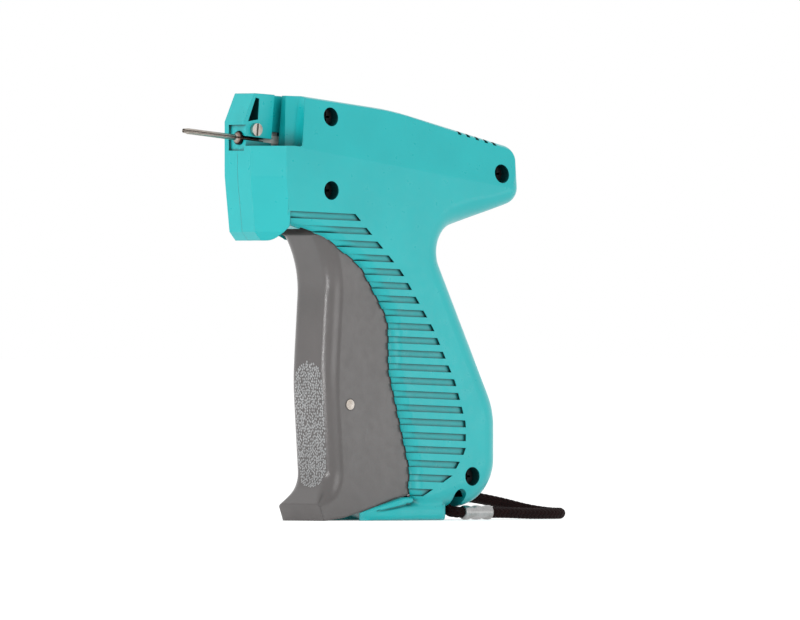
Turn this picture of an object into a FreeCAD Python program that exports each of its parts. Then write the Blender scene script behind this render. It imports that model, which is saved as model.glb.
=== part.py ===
import FreeCAD, Part
import math
import os
from FreeCAD import Placement, Rotation, Vector

# Garment tag attacher: a hand tool that pushes plastic fasteners through a hollow slotted needle.
# Frame: the needle points to -X, the tool's left side faces -Y, +Z is up, and it stands on Z = 0.
# The origin is the middle of the flat under the handle's foot.

DIMENSIONS = {
    # Casing
    "casing_width": 27.0,
    "handle_hollow": 21.2,
    "barrel_hollow": 18.4,
    "facet_lean": 9.0,
    "nose_flat": 12.8,
    "nose_x": -76.0,
    "needle_z": 122.2,
    "barrel_tilt": 5.5,
    # Grip ribs
    "rib_count": 22,
    "rib_pitch": 4.4,
    "rib_depth": 0.8,
    # Trigger
    "trigger_width": 20.4,
    "trigger_hollow": 16.4,
    "trigger_pivot_x": -52.0,
    "trigger_pivot_z": 97.2,
    "trigger_pin_x": -37.7,
    "trigger_pin_z": 37.1,
    "trigger_swing": 15.5,
    "feed_peg_x": -60.4,
    "feed_peg_z": 99.4,
    "pivot_pin_radius": 2.0,
    "drive_pin_radius": 1.65,
    # Drive lever
    "lever_pivot_x": -26.0,
    "lever_pivot_z": 60.0,
    "lever_reach": 58.5,
    "lever_thickness": 7.0,
    "lever_head_radius": 3.0,
    "running_gap": 0.05,
    # Ejector
    "slide_front": 66.0,
    "slide_length": 17.0,
    "slide_width": 14.0,
    "rod_radius": 0.55,
    "rod_tip": 19.5,
    # Needle
    "needle_reach": 25.0,
    "needle_radius": 0.95,
    "needle_bore": 0.65,
    "needle_gap": 0.6,
    "hub_radius": 2.2,
    "hub_length": 9.0,
    "lock_along": 4.4,
    "lock_above": 3.0,
    "lock_radius": 1.6,
    # Feed
    "wheel_offset": 5.4,
    "wheel_teeth": 12,
    "wheel_tip": 5.2,
    "wheel_root": 4.1,
    "ratchet_tip": 4.8,
    "axle_radius": 1.2,
    # Fixings
    "screw_radius": 1.4,
    "screw_head": 2.6,
    "recess_radius": 3.0,
    "boss_radius": 3.6,
    # Wrist cord
    "cord_radius": 1.8,
    "crimp_radius": 2.3,
    "crimp_length": 11.5,
}

# Outline of the barrel and handle seen from the left: x, z, corner radius, rounding of the outer edge
BODY_OUTLINE = [
    (-66.0, 136.1, 0.0, 5.0),
    (-56.0, 135.4, 40.0, 5.0),
    (-20.0, 131.2, 120.0, 5.0),
    (31.0, 119.2, 5.5, 5.0),
    (32.2, 102.6, 5.5, 5.0),
    (-4.3, 91.3, 9.0, 7.6),
    (23.4, 35.7, 24.0, 7.6),
    (23.4, 4.2, 15.5, 7.6),
    (-14.6, 4.2, 6.0, 4.0),
    (-13.6, 16.0, 10.0, 4.0),
    (-22.4, 48.0, 14.0, 4.0),
    (-22.6, 64.0, 12.0, 4.0),
    (-34.0, 81.0, 12.0, 4.0),
    (-49.0, 90.5, 14.0, 4.0),
    (-66.0, 95.2, 0.0, 4.0),
]
NOSE_OUTLINE = [
    (-76.0, 127.3, 0.0),
    (-71.7, 136.4, 0.6),
    (-60.0, 135.7, 0.0),
    (-60.0, 101.0, 0.0),
    (-65.3, 101.0, 0.0),
    (-65.3, 94.05, 0.0),
    (-68.6, 89.4, 3.0),
    (-71.5, 89.4, 0.4),
    (-74.0, 92.2, 0.4),
    (-76.0, 110.0, 60.0),
]
CHEEK_LEANS = [
    (NOSE_OUTLINE[0], NOSE_OUTLINE[1]),
    (NOSE_OUTLINE[9], NOSE_OUTLINE[8]),
    (NOSE_OUTLINE[8], NOSE_OUTLINE[7]),
]
FOOT_OUTLINE = [
    (1.8, 0.0, 1.2),
    (-15.0, 0.0, 12.0),
    (-27.6, 2.6, 0.4),
    (-27.4, 3.2, 0.2),
    (-14.0, 5.8, 0.0),
    (-14.0, 8.0, 0.0),
    (1.8, 8.0, 0.0),
]
HANDLE_HOLLOW = [
    (-58.6, 102.4, 2.0),
    (-40.0, 102.4, 0.0),
    (-36.0, 99.5, 0.0),
    (-4.6, 99.5, 1.0),
    (-3.6, 92.0, 3.0),
    (-3.9, 84.0, 8.0),
    (18.7, 38.0, 20.0),
    (18.7, 7.4, 11.0),
    (-12.0, 7.4, 0.0),
    (-40.0, 1.0, 0.0),
    (-58.6, 60.0, 0.0),
]
BARREL_HOLLOW = [
    (-53.0, 132.0, 1.0),
    (-20.0, 128.2, 0.0),
    (27.6, 116.6, 2.0),
    (27.6, 104.6, 2.0),
    (2.0, 97.0, 3.0),
    (-14.0, 98.0, 0.0),
    (-53.0, 98.0, 0.0),
]
TRIGGER_OUTLINE = [
    (-46.6, 97.0, 1.0, 0.0),
    (-41.0, 97.0, 4.0, 0.0),
    (-31.0, 84.8, 14.0, 0.0),
    (-19.6, 66.0, 18.0, 0.0),
    (-19.6, 48.5, 40.0, 0.0),
    (-10.8, 16.0, 5.0, 0.0),
    (-10.8, 8.9, 2.0, 0.0),
    (-40.5, 0.9, 20.0, 0.0),
    (-48.6, 0.0, 0.3, 0.0),
    (-50.6, 5.4, 0.0, 1.5),
    (-44.7, 12.6, 8.0, 4.6),
    (-46.9, 45.0, 90.0, 4.6),
    (-44.4, 82.0, 30.0, 4.6),
    (-50.6, 91.2, 0.0, 3.0),
]
TRIGGER_CORE = [
    (-45.4, 91.0, 1.0),
    (-41.4, 84.0, 20.0),
    (-44.2, 45.0, 80.0),
    (-42.0, 6.5, 4.0),
    (-8.0, 12.0, 0.0),
    (-8.0, 103.0, 0.0),
    (-45.4, 103.0, 0.0),
]
# Back ends of the grip ribs: height and x
RIB_ENDS = [
    (97.9, -38.2),
    (79.5, -18.9),
    (61.3, -5.7),
    (44.1, 3.5),
    (31.0, 7.9),
    (22.2, 7.8),
    (14.1, 2.1),
    (7.0, -11.4),
]
RIB_LEFT = -65.4
SCREW_PLACES = [(-46.9, 128.9), (-48.2, 105.4), (23.4, 111.0), (10.6, 14.0)]
SCREW_SEATS = [7.0, 8.6, 8.0, 8.6]
NOTCH_PLACES = [(7.1, 124.6), (10.7, 123.8), (14.4, 122.9), (18.1, 122.0), (21.6, 121.2)]
STRAP_SLOT_X = 6.2
STRAP_SLOT_WIDTH = 5.2
STRAP_SLOT_TOP = 10.0
# Route of the wrist cord, from one end of the crimp sleeve round to the other
CORD_POINTS = [
    (15.6, -9.0, 2.4),
    (7.2, -9.0, 2.4),
    (5.6, -6.6, 3.2),
    (6.2, -3.4, 6.4),
    (6.2, 1.6, 7.4),
    (6.2, 8.0, 6.6),
    (7.4, 14.4, 6.2),
    (12.6, 17.6, 6.6),
    (22.0, 17.4, 7.6),
    (33.0, 15.4, 7.4),
    (44.0, 12.6, 5.4),
    (53.0, 9.6, 3.0),
    (58.6, 4.6, 1.9),
    (58.0, -2.6, 1.9),
    (50.0, -5.8, 1.9),
    (40.0, -7.4, 1.9),
    (27.0, -9.0, 2.4),
    (16.2, -9.0, 2.4),
]

doc = FreeCAD.newDocument("tag_attacher")
sheet = doc.addObject("Spreadsheet::Sheet", "Dims")
for row, (alias, value) in enumerate(DIMENSIONS.items(), start=1):
    sheet.set(f"A{row}", alias)
    sheet.set(f"B{row}", str(value))
    sheet.setAlias(f"B{row}", alias)
doc.recompute()
parts = {}


def size(alias):
    """The value of one driving dimension."""
    return float(getattr(sheet, alias))


def bind(feature, field, expression):
    """Tie a field to the sheet, with the cells written by their aliases."""
    for alias in sorted(DIMENSIONS, key=len, reverse=True):
        expression = expression.replace(f"[{alias}]", f"Dims.{alias}")
    feature.setExpression(field, expression)


def rounded(corners):
    """Closed outline as lines and tangent arcs, from x, z and radius of each corner."""
    flat = [Vector(c[0], c[1], 0) for c in corners]
    starts, ends, arcs = [], [], []
    count = len(flat)
    for i, (point, corner) in enumerate(zip(flat, corners)):
        before = (flat[i - 1] - point).normalize()
        after = (flat[(i + 1) % count] - point).normalize()
        radius = corner[2]
        if radius <= 0:
            starts.append(point)
            ends.append(point)
            arcs.append(None)
            continue
        half = before.getAngle(after) / 2
        cut = radius / math.tan(half)
        middle = point + (before + after).normalize() * (radius / math.sin(half) - radius)
        starts.append(point + before * cut)
        ends.append(point + after * cut)
        arcs.append(Part.Arc(starts[-1], middle, ends[-1]))
    curves = []
    for i in range(count):
        if arcs[i]:
            curves.append(arcs[i])
        following = starts[(i + 1) % count]
        if (following - ends[i]).Length > 1e-6:
            curves.append(Part.LineSegment(ends[i], following))
    return curves


def barrel_place():
    """Placement of the barrel's own frame: along the needle's axis, rearwards from the nose."""
    return Placement(
        Vector(size("nose_x"), 0, size("needle_z")),
        Rotation(Vector(0, 1, 0), size("barrel_tilt")),
    )


SIDE_VIEW = Rotation(Vector(1, 0, 0), 90)
ALONG_X = Rotation(Vector(0, 1, 0), 90)
TOOL_PLACE = Placement()
BARREL_PLACE = barrel_place()


def prism(name, curves, low, high, place=TOOL_PLACE):
    """A side-view outline, in x and z, extruded from y = low to y = high."""
    outline = doc.addObject("Sketcher::SketchObject", name + "_outline")
    outline.addGeometry(curves, False)
    outline.Placement = place.multiply(Placement(Vector(0, high, 0), SIDE_VIEW))
    solid = doc.addObject("Part::Extrusion", name)
    solid.Base = outline
    solid.DirMode = "Normal"
    solid.LengthFwd = high - low
    solid.Solid = True
    return solid


def box(name, low, high, place=TOOL_PLACE):
    """A box between two corners of the frame that place gives."""
    solid = doc.addObject("Part::Box", name)
    solid.Length, solid.Width, solid.Height = (b - a for a, b in zip(low, high))
    solid.Placement = place.multiply(Placement(Vector(*low), Rotation()))
    return solid


def cylinder(name, start, radius, length, turn, place=TOOL_PLACE):
    """A cylinder from a point, along the direction that turn gives to its axis."""
    solid = doc.addObject("Part::Cylinder", name)
    if isinstance(radius, str):
        bind(solid, "Radius", radius)
    else:
        solid.Radius = radius
    solid.Height = length
    solid.Placement = place.multiply(Placement(Vector(*start), turn))
    return solid


def across(name, x, z, radius, low, high, place=TOOL_PLACE):
    """A cylinder along y, from y = low to y = high."""
    return cylinder(name, (x, high, z), radius, high - low, SIDE_VIEW, place)


def fuse(name, solids, refine=False):
    """One solid from several that touch or overlap."""
    joined = doc.addObject("Part::MultiFuse", name)
    joined.Shapes = solids
    joined.Refine = refine
    return joined


def cut(name, base, tools, refine=False):
    """The base without the tools, with faces that are one surface joined if refine is set."""
    result = doc.addObject("Part::Cut", name)
    result.Base = base
    result.Tool = tools[0] if len(tools) == 1 else fuse(name + "_tools", tools)
    result.Refine = refine
    return result


def keep(node, feature):
    """Name a finished sub-part, which gives its file its name."""
    feature.Label = node
    parts[node] = feature
    return feature


def plane_of(body, role):
    """One of a body's own origin planes."""
    return next(f for f in body.Origin.OriginFeatures if f.Role == role)


def new_body(name, place=TOOL_PLACE):
    body = doc.addObject("PartDesign::Body", name)
    body.Placement = place
    return body


def sketch_in(body, name, role, curves, offset=0.0):
    """A sketch on one of the body's origin planes, moved along the plane's normal."""
    flat = body.newObject("Sketcher::SketchObject", name)
    flat.AttachmentSupport = (plane_of(body, role), [""])
    flat.MapMode = "FlatFace"
    flat.AttachmentOffset = Placement(Vector(0, 0, offset), Rotation())
    flat.addGeometry(curves, False)
    return flat


def feature_on(body, kind, name, profile, expression, both_sides=False, reverse=False):
    """A pad or a pocket from a profile, with its length tied to the sheet."""
    feature = body.newObject("PartDesign::" + kind, name)
    feature.Profile = profile
    feature.Midplane = both_sides
    feature.Reversed = reverse
    bind(feature, "Length", expression)
    profile.Visibility = False
    return feature


def circle(x, z, radius):
    return [Part.Circle(Vector(x, z, 0), Vector(0, 0, 1), radius)]


def rectangle(x0, z0, x1, z1):
    return rounded([(x0, z0, 0), (x1, z0, 0), (x1, z1, 0), (x0, z1, 0)])


def roll_edges(name, base, outline, outer_y):
    """Round the outer edge of a padded outline, with a radius that changes along it."""
    base.recompute(True)
    curves = rounded(outline)
    radii = []
    for i, corner in enumerate(outline):
        following = outline[(i + 1) % len(outline)]
        if corner[2] > 0:
            radii.append((corner[3], corner[3]))
        radii.append((corner[3], following[3]))
    chosen = []
    for number, edge in enumerate(base.Shape.Edges, start=1):
        at = edge.valueAt((edge.FirstParameter + edge.LastParameter) / 2)
        if abs(abs(at.y) - abs(outer_y)) > 0.01 or at.x < -65.9:
            continue
        for curve, (first, last) in zip(curves, radii):
            middle = curve.value((curve.FirstParameter + curve.LastParameter) / 2)
            if (Vector(at.x, at.z, 0) - middle).Length > 0.02 or not first * last:
                continue
            begins = edge.valueAt(edge.FirstParameter)
            if (Vector(begins.x, begins.z, 0) - curve.StartPoint).Length > 0.02:
                first, last = last, first
            chosen.append((number, first, last))
    result = doc.addObject("Part::Fillet", name)
    result.Base = base
    result.Edges = chosen
    return result


def facet_box(name, side):
    """The space outside the leaning upper facet of the barrel's side."""
    half = size("casing_width") / 2
    lean = math.radians(size("facet_lean"))
    start, end = Vector(-66.2, side * half, 119.8), Vector(33.0, side * half, 106.5)
    along = (end - start).normalize()
    upright = Vector(-along.z, 0, along.x)
    up = upright * math.cos(lean) - Vector(0, side, 0) * math.sin(lean)
    sideways = up.cross(along)
    corner = start - along * 0.0
    if side < 0:
        corner = corner - sideways * 8
    solid = doc.addObject("Part::Box", name)
    solid.Length, solid.Width, solid.Height = (end - start).Length, 8, 30
    solid.Placement = Placement(corner, Rotation(along, sideways, up, "ZXY"))
    return solid


def rib_end(height):
    """The x at which the grip's ribs end at a height."""
    for (z0, x0), (z1, x1) in zip(RIB_ENDS, RIB_ENDS[1:]):
        if z1 <= height <= z0:
            return x0 + (x1 - x0) * (z0 - height) / (z0 - z1)
    return RIB_ENDS[-1][1] if height < RIB_ENDS[-1][0] else RIB_ENDS[0][1]


def rib_grooves(tag, side):
    """The grooves between the grip's ribs on one side."""
    half = size("casing_width") / 2
    low, high = span(side, half - 3.6, half + 1)
    slope = 0.035
    grooves = []
    for i in range(int(size("rib_count"))):
        top = RIB_ENDS[0][0] - i * size("rib_pitch")
        bottom = top - size("rib_pitch") / 2
        x_top, x_bottom = rib_end(top), rib_end(bottom)
        rise = slope * (x_top - RIB_LEFT)
        corners = [
            (RIB_LEFT, top + rise, 0),
            (x_top, top, 0),
            (x_bottom, bottom, 0),
            (RIB_LEFT, bottom + rise, 0),
        ]
        grooves.append(prism(f"{tag}_groove_{i}", rounded(corners), low, high))
    return grooves


def span(side, near, far):
    """A range of y on one side, from its distances to the middle plane."""
    return (near, far) if side > 0 else (-far, -near)


def casing(node, side):
    """One half of the moulded housing: side is -1 for the left half and 1 for the right."""
    half = size("casing_width") / 2
    body = new_body(node + "_shell")
    outline = sketch_in(body, node + "_profile", "XZ_Plane", rounded(BODY_OUTLINE))
    feature_on(body, "Pad", node + "_pad", outline, "[casing_width] / 2", reverse=side > 0)
    rolled = roll_edges(node + "_rolled", body, BODY_OUTLINE, side * half)
    floor = new_body(node + "_rib_floor")
    lower = sketch_in(floor, node + "_floor_profile", "XZ_Plane", rounded(BODY_OUTLINE))
    depth = "[casing_width] / 2 - [rib_depth]"
    feature_on(floor, "Pad", node + "_floor_pad", lower, depth, reverse=side > 0)
    sunk = roll_edges(node + "_floor_rolled", floor, BODY_OUTLINE, half - size("rib_depth"))
    grooves = cut(node + "_grooves", fuse(node + "_bands", rib_grooves(node, side)), [sunk])
    ribbed = cut(node + "_ribbed", rolled, [grooves])
    leaned = cut(node + "_leaned", ribbed, [facet_box(node + "_facet", side)])

    low, high = span(side, 0, half)
    block = prism(node + "_nose", rounded(NOSE_OUTLINE), low, high)
    if side > 0:
        block = round_crest(node + "_nose_crest", block)
    flat = size("nose_flat") / 2
    cheek = doc.addObject("Part::Extrusion", node + "_cheek")
    corner = doc.addObject("Sketcher::SketchObject", node + "_cheek_outline")
    x_nose = size("nose_x")
    slant = [(x_nose - 1, side * (flat - 0.8), 0), (x_nose + 9.2, side * half, 0)]
    slant += [(x_nose + 9.2, side * (half + 2), 0), (x_nose - 1, side * (half + 2), 0)]
    corner.addGeometry(rounded(slant), False)
    corner.Placement = Placement(Vector(0, 0, 85), Rotation())
    cheek.Base, cheek.DirMode, cheek.LengthFwd, cheek.Solid = corner, "Normal", 60, True
    nose = cut(node + "_nose_cut", block, [cheek])
    # Above and below, the cheek leans back with the front, which keeps its width
    for i, (near, far) in enumerate(CHEEK_LEANS):
        leaning = doc.addObject("Part::Extrusion", f"{node}_cheek_{i}")
        shadow = doc.addObject("Sketcher::SketchObject", f"{node}_cheek_outline_{i}")
        shadow.addGeometry(rounded(slant), False)
        shadow.Placement = Placement(Vector(near[0] - x_nose, 0, near[1]), Rotation())
        leaning.Base, leaning.DirMode, leaning.Solid = shadow, "Custom", True
        leaning.Dir = Vector(far[0] - near[0], 0, far[1] - near[1])
        leaning.LengthFwd = 1.3 * leaning.Dir.Length
        nose = cut(f"{node}_nose_cut_{i}", nose, [leaning])
        if i == 0:
            leaned = cut(node + "_trimmed", leaned, [leaning])
    low, high = span(side, 0, 10.4)
    foot = prism(node + "_foot", rounded(FOOT_OUTLINE), low, high)
    blocks = [leaned, nose, foot]
    if side > 0:
        blocks.append(nose_crown(node))
    outer = fuse(node + "_outer", blocks)

    hollow_half = size("handle_hollow") / 2
    low, high = span(side, 0, hollow_half)
    handle_space = prism(node + "_handle_space", rounded(HANDLE_HOLLOW), low, high)
    low, high = span(side, 0, size("barrel_hollow") / 2)
    barrel_space = prism(node + "_barrel_space", rounded(BARREL_HOLLOW), low, high)
    hollow = cut(node + "_hollow", outer, [handle_space, barrel_space])

    # Posts for the screws, and the tongue inside the trigger that carries the drive lever
    added = [hollow]
    for i, (x, z) in enumerate(SCREW_PLACES):
        low, high = span(side, 0, 11.0)
        added.append(across(f"{node}_post_{i}", x, z, "[boss_radius]", low, high))
    pivot_x, pivot_z = size("lever_pivot_x"), size("lever_pivot_z")
    low, high = span(side, 4.6, 7.4)
    tongue = [(pivot_x - 4.4, pivot_z - 4.2, 4.0), (pivot_x + 6, pivot_z - 4.2, 0)]
    tongue += [(9.0, 52.5, 0), (9.0, 62.0, 0), (pivot_x - 4.4, pivot_z + 4.6, 4.0)]
    added.append(prism(node + "_tongue", rounded(tongue), low, high))
    low, high = span(side, 4.6, hollow_half + 0.4)
    root = [(-3.2, 52.9, 0), (11.5, 52.5, 0), (8.0, 62.0, 0), (-3.2, 62.0, 0)]
    added.append(prism(node + "_tongue_root", rounded(root), low, high))
    filled = fuse(node + "_filled", added)

    bored = cut(node + "_bored", filled, [casing_bores(node, side)])
    openings = casing_openings(node, side)
    opened = bored
    for i in range(0, len(openings), 8):
        opened = cut(f"{node}_opened_{i}", opened, openings[i : i + 8])
    return keep(node, opened)


def round_crest(name, block):
    """The right nose with its upper edge rounded as the barrel's is."""
    block.recompute(True)
    crest = (Vector(*NOSE_OUTLINE[1][:2], 0) + Vector(*NOSE_OUTLINE[2][:2], 0)) / 2
    place = Vector(crest.x, size("casing_width") / 2, crest.y)
    edges = block.Shape.Edges
    number = min(range(len(edges)), key=lambda i: (edges[i].CenterOfMass - place).Length)
    result = doc.addObject("Part::Fillet", name)
    result.Base = block
    result.Edges = [(number + 1, BODY_OUTLINE[0][3], BODY_OUTLINE[0][3])]
    return result


def nose_crown(node):
    """The part of the right half that crosses to the left above the needle's slot."""
    block = prism(node + "_crown_block", rounded(NOSE_OUTLINE), -3.2, 1)
    room = box(node + "_crown_room", (-5, -4, 0.65), (11.4, 2, 20), BARREL_PLACE)
    crown = doc.addObject("Part::MultiCommon", node + "_crown")
    crown.Shapes = [block, room]
    return crown


def casing_bores(node, side):
    """Holes for the screws, the pins, the axle and the needle's hub."""
    holes = []
    for i, (x, z) in enumerate(SCREW_PLACES):
        if side < 0:
            holes.append(across(f"{node}_hole_{i}", x, z, "[screw_radius] + 0.2", -14, 1))
            seat = SCREW_SEATS[i]
            holes.append(across(f"{node}_recess_{i}", x, z, "[recess_radius]", -15, -seat))
        else:
            holes.append(across(f"{node}_hole_{i}", x, z, "[screw_radius] + 0.02", -1, 8.5))
    trigger_at = (size("trigger_pivot_x"), size("trigger_pivot_z"))
    lever_at = (size("lever_pivot_x"), size("lever_pivot_z"))
    low, high = span(side, 10.0, 12.3)
    holes.append(across(node + "_pin_hole", *trigger_at, "[pivot_pin_radius] + 0.02", low, high))
    low, high = span(side, 4.0, 7.1)
    holes.append(across(node + "_lever_hole", *lever_at, "[pivot_pin_radius] + 0.02", low, high))
    hub = size("hub_length")
    holes.append(
        cylinder(node + "_hub_hole", (-1, 0, 0), "[hub_radius] + 0.02", hub + 1.05, ALONG_X, BARREL_PLACE)
    )
    lock_at = (size("lock_along"), size("lock_above"), "[lock_radius] + 0.05")
    if side > 0:
        holes.append(across(node + "_lock_hole", *lock_at, -4, 2.45, BARREL_PLACE))
    rod_hole = cylinder(
        node + "_rod_hole", (8, 0, 0), "[rod_radius] + 0.1", 20, ALONG_X, BARREL_PLACE
    )
    holes.append(rod_hole)
    bar = cylinder(node + "_bar_hole", (-2.0, 0, 3.6), 1.22, 14.0, ALONG_X)
    holes.append(bar)
    return fuse(node + "_bores", holes)


def casing_openings(node, side):
    """Recesses and channels: feed, nose recess, thumb scoop, strap slot and top notches."""
    tools = []
    # The column of fastener bars comes down from the top, in the middle plane
    low, high = span(side, -0.9, 0.9)
    tools.append(box(node + "_column", (9.3, low, -6.0), (19.3, high, 16.0), BARREL_PLACE))
    # Square recess round the needle
    tools.append(box(node + "_square", (-77, -3.25, 118.1), (-75.2, 4.3, 126.3)))
    # Strap slot in the foot, open at the bottom
    low, high = span(side, -1, 16)
    centre = STRAP_SLOT_X
    wide = STRAP_SLOT_WIDTH / 2
    arch = [
        (centre - wide, -1.0, 0),
        (centre + wide, -1.0, 0),
        (centre + wide, STRAP_SLOT_TOP, wide * 0.98),
        (centre - wide, STRAP_SLOT_TOP, wide * 0.98),
    ]
    tools.append(prism(node + "_arch", rounded(arch), low, high))
    for i, (x, z) in enumerate(NOTCH_PLACES):
        low, high = span(side, 4.5, 12)
        slot = rounded([(x - 0.7, z - 1.0, 0), (x + 0.7, z - 1.3, 0), (x + 0.7, z + 3, 0), (x - 0.7, z + 3, 0)])
        tools.append(prism(f"{node}_notch_{i}", slot, low, high))
    if side < 0:
        # The upper nose is cut back on the left, so that the fasteners' threads hang clear
        tools.append(box(node + "_step", (-80, -16, 119.6), (-61.4, -3.2, 140)))
        tools.append(box(node + "_crown_space", (-5, -4, -0.65), (12.0, 0.5, 20), BARREL_PLACE))
        scoop = doc.addObject("Part::Cone", node + "_scoop")
        scoop.Radius1, scoop.Radius2, scoop.Height = 6.0, 8.4, 18.0
        scoop.Placement = Placement(Vector(-65.2, -9.8, 119.6), Rotation())
        tools.append(scoop)
        tools.append(box(node + "_feed_slot", (11.4, -14, -1.4), (15.2, -0.5, 16), BARREL_PLACE))
        tools.append(box(node + "_thread_room", (14.8, -2.3, -1.4), (18.6, -0.5, 16), BARREL_PLACE))
    else:
        pocket = rounded([(-71.0, 135.0, 0), (-69.6, 134.6, 0), (-70.1, 128.0, 0), (-74.2, 127.4, 0)])
        tools.append(prism(node + "_pocket", pocket, -4.0, 1.8))
        tools.append(box(node + "_knife_seat", (9.6, -2.9, 0.5), (12.5, -0.5, 1.22), BARREL_PLACE))
        offset = size("wheel_offset")
        tools.append(
            cylinder(node + "_wheel_space", (9.6, offset, 0), 5.6, 9.6, ALONG_X, BARREL_PLACE)
        )
        tools.append(
            cylinder(node + "_axle_hole", (7.6, offset, 0), "[axle_radius] + 0.02", 14, ALONG_X, BARREL_PLACE)
        )
        tools.append(box(node + "_index_space", (14.7, 9.2, -27.0), (18.8, 12.1, 6), BARREL_PLACE))
        tools.append(box(node + "_slot_space", (12.6, 10.0, -28.4), (22.6, 12.1, -13.6), BARREL_PLACE))
        tools.append(box(node + "_ear_space", (-63.4, 8.0, 93.6), (-50.0, 10.7, 102.8)))
        tools.append(box(node + "_spring_space", (15.2, 4.0, -12.0), (18.3, 9.4, -3.0), BARREL_PLACE))
    return tools


def needle():
    """Hollow needle with its slot to the left, on a round hub with a notch for the lock."""
    reach, hub = size("needle_reach"), size("hub_length")
    outer, bore = size("needle_radius"), size("needle_bore")
    body = new_body("needle_body", BARREL_PLACE)
    profile = rounded([
        (-reach, 0, 0),
        (-reach, bore * 0.35, 0),
        (-reach + 4.5, outer, 0),
        (-1.2, outer, 0),
        (0.2, size("hub_radius"), 0),
        (hub, size("hub_radius"), 0),
        (hub, 0, 0),
    ])
    flat = sketch_in(body, "needle_profile", "XZ_Plane", profile)
    turned = body.newObject("PartDesign::Revolution", "needle_turned")
    turned.Profile = flat
    turned.ReferenceAxis = (flat, ["H_Axis"])
    turned.Angle = 360
    hole = sketch_in(body, "needle_hole", "YZ_Plane", circle(0, 0, bore), offset=-reach - 1)
    drilled = feature_on(body, "Pocket", "needle_bored", hole, "[needle_reach] + [hub_length] + 2")
    drilled.Reversed = True
    half = size("needle_gap") / 2
    opening = sketch_in(body, "needle_opening", "XZ_Plane", rectangle(-reach - 1, -half, hub + 1, half))
    feature_on(body, "Pocket", "needle_slotted", opening, "[hub_radius] * 2", reverse=True)
    lock = circle(size("lock_along"), size("lock_above"), size("lock_radius") + 0.08)
    notch = sketch_in(body, "needle_notch", "XZ_Plane", lock)
    feature_on(body, "Pocket", "needle_notched", notch, "[hub_radius] * 3", both_sides=True)
    return keep("needle", body)


def needle_lock():
    """Quarter-turn pin: its round side sits in the hub's notch, and its flat lets the needle out."""
    along, above = size("lock_along"), size("lock_above")
    pin = across("lock_pin", along, above, "[lock_radius]", -3.5, 2.3, BARREL_PLACE)
    head = across("lock_head", along, above, 2.05, -4.5, -3.3, BARREL_PLACE)
    whole = fuse("lock_blank", [pin, head])
    flat = box("lock_flat", (along - 4, -2.9, above - 3), (along - 0.7, 3, above + 3), BARREL_PLACE)
    slot = box("lock_slot", (along - 0.42, -5, above - 3), (along + 0.42, -4.0, above + 3), BARREL_PLACE)
    return keep("needle_lock", cut("lock_finished", whole, [flat, slot]))


def trigger():
    """Hollow moulded trigger, open at the back, with its pivot hubs and the feed arm's peg."""
    blank = new_body("trigger_blank")
    outline = sketch_in(blank, "trigger_outline", "XZ_Plane", rounded(TRIGGER_OUTLINE))
    feature_on(blank, "Pad", "trigger_pad", outline, "[trigger_width]", both_sides=True)
    half = size("trigger_width") / 2
    softened = roll_edges("trigger_softened", blank, TRIGGER_OUTLINE, half)
    hollow_half = size("trigger_hollow") / 2
    core = prism("trigger_core", rounded(TRIGGER_CORE), -hollow_half, hollow_half)
    shell = cut("trigger_shell", softened, [core])
    pin = (size("trigger_pin_x"), size("trigger_pin_z"))
    hole = across("trigger_pin_hole", *pin, "[drive_pin_radius] + 0.01", -half - 1, half + 1)
    drilled = cut("trigger_drilled", shell, [hole])

    pivot = (size("trigger_pivot_x"), size("trigger_pivot_z"))
    peg_at = (size("feed_peg_x"), size("feed_peg_z"))
    plate = [(pivot[0], pivot[1] - 3.0, 0), (-43.0, 86.0, 0), (-41.0, 95.0, 0), (pivot[0], pivot[1] + 3.0, 0)]
    reach = [(pivot[0], pivot[1] - 2.6, 0), (pivot[0], pivot[1] + 2.6, 0)]
    reach += [(peg_at[0], peg_at[1] + 2.0, 0), (peg_at[0], peg_at[1] - 2.0, 0)]
    arms = []
    for tag, side in (("left", -1), ("right", 1)):
        pieces = [
            across(f"trigger_hub_{tag}", *pivot, 4.0, *span(side, 5.4, half)),
            prism(f"trigger_plate_{tag}", rounded(plate), *span(side, 8.3, 10.0)),
        ]
        if side > 0:
            pieces.append(across("trigger_ear", *peg_at, 2.4, 8.3, half))
            pieces.append(prism("trigger_neck", rounded(reach), 8.5, 10.0))
            pieces.append(across("trigger_peg", *peg_at, 1.2, half - 1, 11.8))
        bore = across(f"trigger_bore_{tag}", *pivot, "[pivot_pin_radius] + [running_gap]", -half - 1, half + 1)
        arms.append(cut(f"trigger_arm_{tag}", fuse(f"trigger_arm_blank_{tag}", pieces), [bore]))
    return keep("trigger", fuse("trigger_finished", [drilled] + arms))


def lever_slot():
    """Cam slot of the lever: where the drive pin runs when both turn in a fixed ratio."""
    pivot = Vector(size("trigger_pivot_x"), size("trigger_pivot_z"), 0)
    lever = Vector(size("lever_pivot_x"), size("lever_pivot_z"), 0)
    rest = Vector(size("trigger_pin_x"), size("trigger_pin_z"), 0)
    swing = math.radians(size("trigger_swing"))
    track = []
    for i in range(-1, 8):
        turn = swing * i / 6
        at = pivot + turned(rest - pivot, turn)
        track.append(lever + turned(at - lever, -turn * lever_ratio()))
    return track


def turned(arm, angle):
    """A side-view vector after a turn that swings its lower end rearwards."""
    c, s = math.cos(angle), math.sin(angle)
    return Vector(arm.x * c - arm.y * s, arm.x * s + arm.y * c, 0)


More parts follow.
